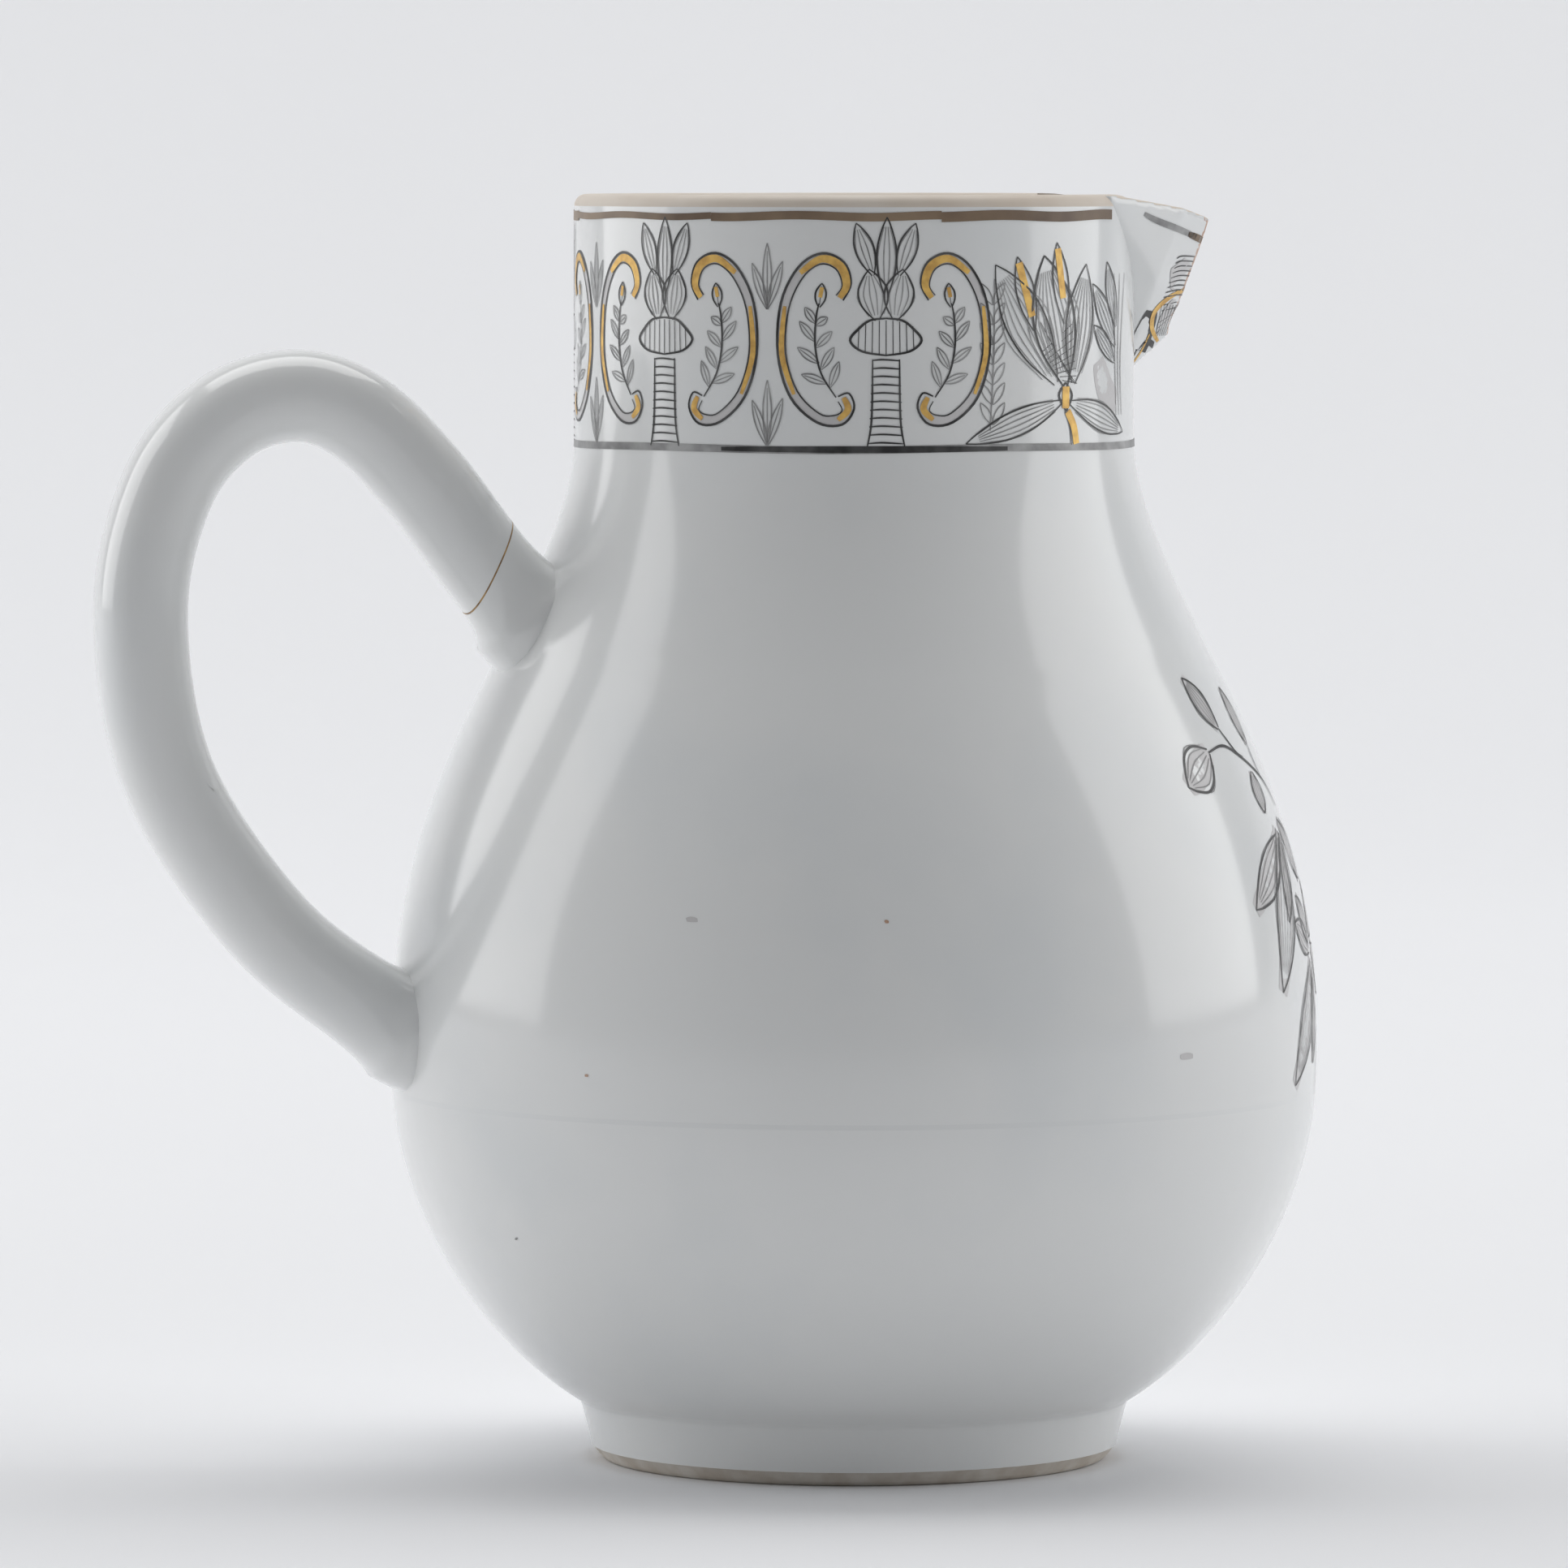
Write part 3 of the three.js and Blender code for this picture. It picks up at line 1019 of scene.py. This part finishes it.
@dataclass
class Border:
    """The border round the neck: columns between pairs of scrolls, and open flowers."""

    painter: Painter
    low: float = 104.6
    columns: tuple[float, ...] = (-6.0, -54.0, -102.0, -150.0, 162.0)
    half_column: float = 162.0
    fans: tuple[float, ...] = (-30.0, -78.0, -126.0, -174.0)
    flowers: Point2 = (35.5, 139.0)
    lip_ring: Point2 = (-233.0, 53.0)
    lip_ring_z: float = 127.9
    lip_ring_width: float = 0.62
    brush_loads: int = 6
    ring_steps: int = 90

    def lines(self) -> None:
        """Draws the brown ring under the lip and the grey ring below the border."""
        p = self.painter
        neck_r = p.body.sizes.neck_r
        start, end = self.lip_ring
        for k in range(self.brush_loads):
            a0 = start + (end - start) * k / self.brush_loads
            a1 = start + (end - start) * (k + 1) / self.brush_loads
            arc = [(neck_r * math.radians(a0 + (a1 - a0) * i / self.ring_steps),
                    0.10 * math.sin(i / 9.0 + k)) for i in range(self.ring_steps + 1)]
            width = self.lip_ring_width * (0.8 + 0.2 * (k % 3))
            p.stroke(Ink.BROWN, arc, width, (0.0, self.lip_ring_z), taper=False, smooth=False)
        arc = [(neck_r * math.radians(a * 3.0), 0.08 * math.sin(a / 4.0)) for a in range(-60, 61)]
        p.stroke(Ink.SOFT, arc, 0.55, (0.0, self.low), taper=False, smooth=False)
        middle = [(neck_r * math.radians(a), 0.0) for a in range(-40, 22, 2)]
        p.stroke(Ink.GREY, middle, 0.5, (0.0, self.low), taper=True, smooth=False)

    def column(self, theta: float) -> None:
        """Draws a palm-like column with its knop and leaves.

        Args:
            theta: Its angle.
        """
        at = (theta, self.low)
        p = self.painter
        for side in (-1, 1):
            p.stroke(Ink.GREY, [(1.9, 0.2), (1.45, 3.0), (1.35, 9.0)], 0.16, at, side)
            p.stroke(Ink.GREY, [(0.0, 13.1), (1.6, 12.9), (2.7, 12.1), (3.6, 10.9), (2.4, 9.8),
                                (0.0, 9.4)], 0.2, at, side)
            p.leaf((0.9, 12.9), (1.7, 18.0), 3.0, at, side, hatch=6)
            p.leaf((1.3, 17.4), (3.0, 22.6), 1.9, at, side, hatch=4)
        p.leaf((0.0, 15.2), (0.1, 23.2), 2.0, at, hatch=4)
        for k in range(11):
            v = 0.6 + k * 0.83
            reach = 1.75 - 0.35 * k / 10
            p.stroke(Ink.GREY, [(-reach, v), (-0.3, v + 0.08), (reach, v - 0.04)], 0.13, at)
        for k in range(9):
            u = -2.8 + k * 0.7
            reach = 1.7 * math.sqrt(1 - (u / 3.7) ** 2)
            p.stroke(Ink.GREY, [(u, 11.2 - reach), (u * 0.97, 11.2 + reach)], 0.11, at)

    def scroll(self, theta: float, side: int) -> None:
        """Draws one C scroll with the sprig it holds.

        Args:
            theta: Angle of the column it belongs to.
            side: 1 when it lies towards the beak, -1 otherwise.
        """
        at = (theta, self.low)
        p = self.painter
        outer = [(4.3, 14.9), (3.5, 16.6), (4.2, 18.7), (6.4, 19.6), (8.8, 18.2), (10.6, 14.6),
                 (10.9, 9.5), (9.6, 5.2), (6.9, 2.7), (4.4, 2.5), (3.2, 4.1), (3.7, 5.6), (4.8, 5.3)]
        inner = [(5.0, 15.4), (4.4, 16.4), (5.0, 18.0), (6.6, 18.5), (8.4, 17.1), (9.8, 14.0),
                 (10.1, 9.6), (8.9, 5.8), (6.7, 3.6), (5.2, 3.4), (4.4, 3.9), (4.8, 4.8)]
        middle = [((a + c) / 2, (b + d) / 2) for (a, b), (c, d) in zip(outer[:12], inner)]
        p.stroke(Ink.WASH, middle, 0.85, at, side)
        p.stroke(Ink.GILT, middle[:5], 0.62, at, side)
        p.stroke(Ink.GILT, middle[5:8], 0.42, at, side)
        p.stroke(Ink.GILT, middle[9:], 0.5, at, side)
        p.stroke(Ink.GREY, outer, 0.2, at, side)
        p.stroke(Ink.GREY, inner, 0.12, at, side)
        stem = [(5.0, 5.2), (6.5, 7.6), (7.1, 10.4), (7.0, 13.2), (6.7, 14.6)]
        p.stroke(Ink.GREY, stem, 0.16, at, side)
        p.leaf((6.7, 14.2), (6.4, 16.6), 1.1, at, side, hatch=1)
        p.stroke(Ink.GILT, [(6.6, 15.2), (6.4, 16.2)], 0.5, at, side)
        for (u, v), (du, dv) in (((5.6, 6.2), (-0.9, 2.6)), ((5.9, 6.6), (2.6, 0.9)),
                                 ((6.5, 8.0), (-1.3, 2.2)), ((6.7, 8.6), (2.2, 1.6)),
                                 ((7.0, 10.2), (-1.6, 1.6)), ((7.1, 10.8), (1.6, 2.0)),
                                 ((7.05, 12.4), (-1.2, 0.8)), ((7.05, 12.6), (1.1, 1.6))):
            p.leaf((u, v), (u + du, v + dv), 0.8, at, side, hatch=1, ink=Ink.SOFT, line=0.11)

    def fan(self, theta: float) -> None:
        """Draws the leaves between two scrolls, one group above and one below.

        Args:
            theta: Its angle.
        """
        at = (theta, self.low)
        for base in (0.3, 14.0):
            for lean, reach in ((-1.6, 4.6), (0.0, 6.6), (1.6, 4.8)):
                self.painter.leaf((0.0, base), (lean, base + reach), 0.9, at, hatch=1,
                                  ink=Ink.SOFT, line=0.12)

    def flower(self, theta: float, side: int) -> None:
        """Draws the open flower next to the beak.

        Args:
            theta: Its angle.
            side: 1, or -1 to draw it reversed.
        """
        at = (theta, self.low)
        p = self.painter
        p.leaf((0.0, 6.2), (-3.1, 19.3), 6.0, at, side, hatch=11, line=0.2)
        p.leaf((-1.4, 6.4), (-9.2, 18.4), 5.0, at, side, hatch=9)
        p.leaf((1.2, 6.4), (3.4, 18.4), 4.4, at, side, hatch=8)
        p.leaf((-4.4, 11.8), (-6.6, 19.2), 2.3, at, side, hatch=0)
        p.stroke(Ink.GILT, [(-4.7, 13.2), (-6.4, 18.6)], 1.1, at, side)
        p.leaf((-0.1, 12.4), (-1.3, 20.6), 2.3, at, side, hatch=0)
        p.stroke(Ink.GILT, [(-0.4, 15.0), (-1.2, 20.0)], 1.1, at, side)
        p.stroke(Ink.GILT, [(0.0, 3.9), (0.05, 6.1)], 1.3, at, side)
        for edge in (-1, 1):
            p.stroke(Ink.GREY, [(0.0, 6.5), (edge * 1.0, 5.2), (0.1, 3.6)], 0.2, at, side)
        p.stroke(Ink.GILT, [(0.3, 3.6), (1.3, 2.0), (1.7, 0.3)], 0.7, at, side, taper=False)
        p.stroke(Ink.GREY, [(-0.1, 3.6), (0.7, 2.0), (0.9, 0.2)], 0.14, at, side)
        for k in range(9):
            p.stroke(Ink.GREY, [(-3.6 + k * 0.5, 12.6 - k * 0.7), (-0.6 + k * 0.28, 8.6 - k * 0.28)],
                     0.09, at, side)
            p.stroke(Ink.GREY, [(-3.4 + k * 0.36, 9.6 - k * 0.36), (1.0 + k * 0.1, 12.4 - k * 0.75)],
                     0.09, at, side)
        p.leaf((-0.5, 4.6), (-12.5, 0.5), 2.6, at, side, hatch=6)
        p.leaf((0.6, 4.5), (12.0, 1.3), 2.8, at, side, hatch=7)
        for k in range(7):
            v = 2.4 + k * 2.0
            for lean in (-1.4, 1.4):
                p.leaf((-9.5, v), (-9.5 + lean, v + 2.2), 0.8, at, side, hatch=0, ink=Ink.SOFT, line=0.1)
        p.stroke(Ink.SOFT, [(-9.8, 1.8), (-9.4, 9.0), (-9.3, 17.0)], 0.12, at, side)
        for base, tip, width in (((9.4, 8.4), (4.8, 12.2), 2.0), ((9.6, 10.0), (4.6, 16.4), 2.6),
                                 ((9.8, 12.0), (7.6, 18.6), 2.4)):
            p.leaf(base, tip, width, at, side, hatch=5)
        p.stroke(Ink.WASH, [(10.0, 4.4), (7.4, 5.6), (5.8, 8.6)], 2.6, at, side)
        for lean in (-0.6, 0.2, 1.0):
            p.stroke(Ink.SOFT, [(10.6 + lean, 3.0), (10.2 + lean, 9.0), (10.6 + lean * 2, 17.4)], 0.14,
                     at, side)

    def draw(self) -> None:
        """Draws the whole border."""
        self.lines()
        for theta in self.columns:
            self.column(theta)
            for side in (-1, 1):
                if theta != self.half_column or side > 0:
                    self.scroll(theta, side)
        for theta in self.fans:
            self.fan(theta)
        self.flower(self.flowers[0], 1)
        self.flower(self.flowers[1], -1)


@dataclass
class BeakPainting:
    """The painted panels on the beak's flanks."""

    painter: Painter
    beak: Piece

    def draw(self) -> None:
        """Draws the lip line, the hatched panels, the gilt arc and the dark leaf."""
        p, beak = self.painter, self.beak
        p.on_beak(Ink.SOFT, [(27.3, 128.0), (29.0, 127.3), (33.0, 126.1), (36.2, 125.0)], 0.5, beak)
        p.on_beak(Ink.BROWN, [(33.4, 125.9), (34.8, 125.5), (36.4, 124.9)], 0.55, beak)
        p.on_beak(Ink.WASH, [(32.4, 122.9), (33.6, 120.8), (33.6, 119.6)], 2.6, beak)
        p.on_beak(Ink.WASH, [(33.3, 119.0), (32.8, 117.2), (32.2, 115.6)], 2.0, beak)
        for k in range(9):
            z = 119.4 + k * 0.5
            p.on_beak(Ink.GREY, [(31.2 + k * 0.12, z), (33.0, z + 0.25), (34.7 + k * 0.12, z + 0.1)],
                      0.1, beak)
        for k in range(6):
            z = 115.6 + k * 0.6
            p.on_beak(Ink.GREY, [(31.4, z), (33.2, z + 0.3)], 0.1, beak)
            p.on_beak(Ink.GREY, [(31.2 + k * 0.4, 118.6), (31.4 + k * 0.25, 115.4)], 0.08, beak)
        p.on_beak(Ink.GREY, [(28.7, 111.9), (29.5, 114.6), (30.1, 118.0)], 1.9, beak)
        p.on_beak(Ink.GREY, [(29.2, 112.2), (30.4, 113.9), (31.0, 115.0)], 1.2, beak)
        p.on_beak(Ink.GILT, [(28.7, 111.8), (29.9, 113.7), (30.5, 115.6)], 0.16, beak)
        p.on_beak(Ink.GILT, [(34.4, 120.2), (32.2, 119.5), (30.5, 118.0), (30.6, 116.3), (31.9, 114.8)],
                  0.42, beak)
        p.on_beak(Ink.STAIN, [(36.7, 125.2), (35.6, 122.0), (34.6, 119.4), (33.6, 116.8)], 0.7, beak)


@dataclass
class Spray:
    """The flower spray on the body's right side."""

    painter: Painter
    theta: float = 60.0
    low: float = 60.0

    def draw(self) -> None:
        """Draws stems, leaves and the drooping flowers."""
        at = (self.theta, self.low)
        p = self.painter
        for line, width in (([(-8.3, 13.8), (-4.5, 14.3), (-1.0, 13.2), (5.0, 10.4), (7.6, 7.6)], 0.24),
                            ([(-3.6, 16.0), (-1.5, 13.6), (0.2, 12.9)], 0.2),
                            ([(4.2, 14.0), (4.0, 12.6), (4.4, 10.9)], 0.2),
                            ([(6.4, 6.4), (10.5, 3.0), (12.4, -4.0)], 0.24),
                            ([(6.6, -9.1), (8.4, -14.0), (8.6, -22.0)], 0.2)):
            p.stroke(Ink.GREY, line, width, at)
        for base, tip, width, hatch in (
                ((-3.6, 16.0), (-6.7, 21.2), 3.2, 7), ((4.2, 14.0), (3.1, 19.8), 3.2, 6),
                ((-8.3, 13.9), (-14.6, 10.6), 4.4, 7), ((1.2, 11.4), (0.8, 7.2), 3.4, 6),
                ((3.4, 5.4), (-4.9, -10.6), 5.2, 8), ((2.6, 4.8), (-8.7, -2.0), 4.0, 6),
                ((4.2, 5.0), (-0.2, -3.8), 3.0, 5), ((5.2, 6.2), (9.5, 0.0), 3.4, 5),
                ((7.6, -6.4), (4.6, -1.4), 3.0, 4), ((7.4, -7.2), (1.8, -4.0), 3.4, 5),
                ((7.6, -8.2), (-1.7, -20.3), 4.6, 8), ((8.0, -9.0), (6.2, -18.6), 3.0, 6),
                ((9.6, -6.8), (15.4, -12.0), 4.4, 6), ((9.2, -5.8), (14.6, -0.6), 4.0, 6)):
            p.leaf(base, tip, width, at, hatch=hatch, line=0.2)
            middle = ((base[0] + tip[0]) / 2, (base[1] + tip[1]) / 2)
            p.stroke(Ink.WASH, [base, middle, tip], width * 0.55, at)


@dataclass
class Blemishes:
    """Pinholes, specks and smudges in the glaze."""

    painter: Painter
    origin: Point2 = (60.0, 60.0)

    def draw(self) -> None:
        """Draws the marks that show at the front."""
        p = self.painter
        for ink, (u, v), reach, width in (
                (Ink.WASH, (-23.4, -15.8), 0.9, 0.5), (Ink.WASH, (-74.5, -1.5), 0.6, 0.4),
                (Ink.STAIN, (-54.9, -1.5), 0.2, 0.25), (Ink.STAIN, (-88.3, -17.3), 0.2, 0.2),
                (Ink.GREY, (-129.7, -13.9), 0.15, 0.2), (Ink.SOFT, (-94.6, -34.7), 0.2, 0.2)):
            p.stroke(ink, [(u - reach, v), (u, v + 0.05), (u + reach, v)], width, self.origin)


@dataclass(frozen=True)
class Lamp:
    """A soft light: degrees from the camera's direction, then metres and watts."""

    name: str
    angle: float
    reach: float
    height: float
    size: Point2
    energy: float


@dataclass
class Studio:
    """Seamless paper sweep, soft lights, background and camera, in metres."""

    shop: Workshop
    azimuth: float = -12.0
    distance: float = 1.10
    eye_height: float = 0.135
    aim_height: float = 0.0694
    aim_left: float = 0.0072
    lens: float = 246.0
    sweep_flat: float = 0.9
    sweep_radius: float = 0.8
    sweep_width: float = 6.0
    sweep_top: float = 3.2
    fill: Colour = (0.22, 0.222, 0.226)
    backdrop: Colour = (0.755, 0.762, 0.785)
    lamps: tuple[Lamp, ...] = (Lamp("left_box", -104.0, 1.7, 0.75, (1.5, 1.5), 13.4),
                               Lamp("right_box", 98.0, 1.7, 0.75, (1.5, 1.5), 12.6),
                               Lamp("top_box", 180.0, 0.55, 1.95, (2.4, 1.4), 23.5))

    def toward(self, angle: float, reach: float) -> Vector:
        """A floor point seen from the jug.

        Args:
            angle: Degrees from the camera's direction, positive to its right.
            reach: Distance from the jug's axis.

        Returns:
            The point.
        """
        a = math.radians(angle + self.azimuth)
        return Vector((self.shop.axis_x * MM + math.sin(a) * reach, -math.cos(a) * reach, 0.0))

    def sweep(self) -> None:
        """Builds the paper that runs from the floor up behind the jug."""
        line = [(-3.0, 0.0), (-0.3, 0.0), (0.3, 0.0), (self.sweep_flat, 0.0)]
        for k in range(1, 25):
            a = math.radians(90.0 * k / 24)
            line.append((self.sweep_flat + self.sweep_radius * math.sin(a),
                         self.sweep_radius * (1 - math.cos(a))))
        line.append((self.sweep_flat + self.sweep_radius, self.sweep_top))
        middle = self.toward(0.0, 0.0)
        back, right = self.toward(180.0, 1.0) - middle, self.toward(90.0, 1.0) - middle
        verts, faces = [], []
        for away, up in line:
            for side in (-0.5, 0.5):
                at = back * away + right * side * self.sweep_width
                verts.append((at.x / MM, at.y / MM, up / MM))
        for k in range(len(line) - 1):
            faces.append([2 * k, 2 * k + 1, 2 * k + 3, 2 * k + 2])
        paper = Matt("paper", (0.825, 0.83, 0.845), (0.815, 0.82, 0.835), 0.9, 3.0).material()
        self.shop.mesh("paper_sweep", verts, faces, [paper])

    def hang(self, lamp: Lamp) -> None:
        """Adds one soft light that looks at the jug.

        Args:
            lamp: The light's place, size and power.
        """
        light = bpy.data.lights.new(lamp.name, "AREA")
        light.shape = "RECTANGLE"
        light.size, light.size_y = lamp.size
        light.energy = lamp.energy
        obj = bpy.data.objects.new(lamp.name, light)
        obj.location = self.toward(lamp.angle, lamp.reach) + Vector((0.0, 0.0, lamp.height))
        aim = Vector((self.shop.axis_x * MM, 0.0, 0.06))
        obj.rotation_euler = (aim - obj.location).to_track_quat("-Z", "Y").to_euler()
        bpy.context.scene.collection.objects.link(obj)

    def background(self) -> None:
        """Sets the pale background and the dimmer light it gives."""
        world = bpy.data.worlds.new("studio")
        world.use_nodes = True
        nodes, links = world.node_tree.nodes, world.node_tree.links
        path = nodes.new("ShaderNodeLightPath")
        mix = nodes.new("ShaderNodeMix")
        mix.data_type = "RGBA"
        mix.inputs[6].default_value = (*self.fill, 1.0)
        mix.inputs[7].default_value = (*self.backdrop, 1.0)
        links.new(path.outputs["Is Camera Ray"], mix.inputs[0])
        links.new(mix.outputs[2], nodes["Background"].inputs["Color"])
        nodes["Background"].inputs["Strength"].default_value = 1.0
        bpy.context.scene.world = world

    def camera(self) -> None:
        """Places the long-lens camera a little above the rim."""
        data = bpy.data.cameras.new("camera")
        data.lens = self.lens
        data.sensor_width = 36.0
        obj = bpy.data.objects.new("camera", data)
        left = self.toward(-90.0, self.aim_left)
        aim = Vector((left.x, left.y, self.aim_height))
        eye = self.toward(0.0, self.distance) + (left - self.toward(0.0, 0.0))
        obj.location = Vector((eye.x, eye.y, self.eye_height))
        obj.rotation_euler = (aim - obj.location).to_track_quat("-Z", "Y").to_euler()
        bpy.context.scene.collection.objects.link(obj)
        bpy.context.scene.camera = obj

    def build(self) -> None:
        """Sets up the whole studio."""
        self.sweep()
        for lamp in self.lamps:
            self.hang(lamp)
        self.background()
        bpy.context.scene.view_settings.view_transform = "Standard"
        self.camera()


def main() -> None:
    """Builds the jug and its studio."""
    logging.basicConfig(level=logging.INFO)
    low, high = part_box("lower_body")
    shop = Workshop(axis_x=(low[0] + high[0]) / 2 / MM)
    sizes = BodySizes()
    glaze = Glaze("glaze").material()
    slip = Glaze("slip_glaze", colour=(0.80, 0.812, 0.81)).material()
    biscuit = Matt("bare_foot", (0.70, 0.66, 0.60), (0.58, 0.52, 0.45), 0.75).material()
    bare_rim = Matt("bare_rim", (0.72, 0.65, 0.57), (0.60, 0.51, 0.42), 0.5, 60.0).material()
    stain = Matt("stained_break", (0.66, 0.50, 0.42), (0.48, 0.30, 0.22), 0.8, 900.0).material()
    adhesive = Matt("adhesive", (0.50, 0.30, 0.10), (0.22, 0.13, 0.06), 0.5, 900.0).material()
    inks = {
        Ink.GREY: Matt("grey_enamel", (0.10, 0.10, 0.10), (0.02, 0.02, 0.02), 0.35, 300.0).material(),
        Ink.SOFT: Matt("soft_enamel", (0.42, 0.42, 0.42), (0.20, 0.20, 0.20), 0.35, 300.0).material(),
        Ink.GILT: Matt("gilt", (0.90, 0.58, 0.16), (0.62, 0.36, 0.10), 0.4, 900.0, 0.3).material(),
        Ink.BROWN: Matt("brown_enamel", (0.28, 0.20, 0.13), (0.10, 0.06, 0.035), 0.4, 90.0).material(),
        Ink.STAIN: Matt("stain_enamel", (0.62, 0.44, 0.34), (0.44, 0.26, 0.17), 0.7, 900.0).material(),
        Ink.WASH: Matt("grey_wash", (0.66, 0.65, 0.65), (0.58, 0.57, 0.57), 0.3, 200.0).material(),
    }
    body = TurnedBody(shop, sizes)
    body.build(glaze, biscuit, bare_rim, slip)
    beak = Beak(shop, sizes).build(glaze, stain, bare_rim)
    Handle(shop, body).build(glaze, adhesive)
    painter = Painter(shop, body)
    Border(painter).draw()
    BeakPainting(painter, beak).draw()
    Spray(painter).draw()
    Blemishes(painter).draw()
    painter.build(inks)
    Studio(shop).build()
    LOG.info("pieces: %s", ", ".join(shop.pieces))


if __name__ == "__main__":
    main()
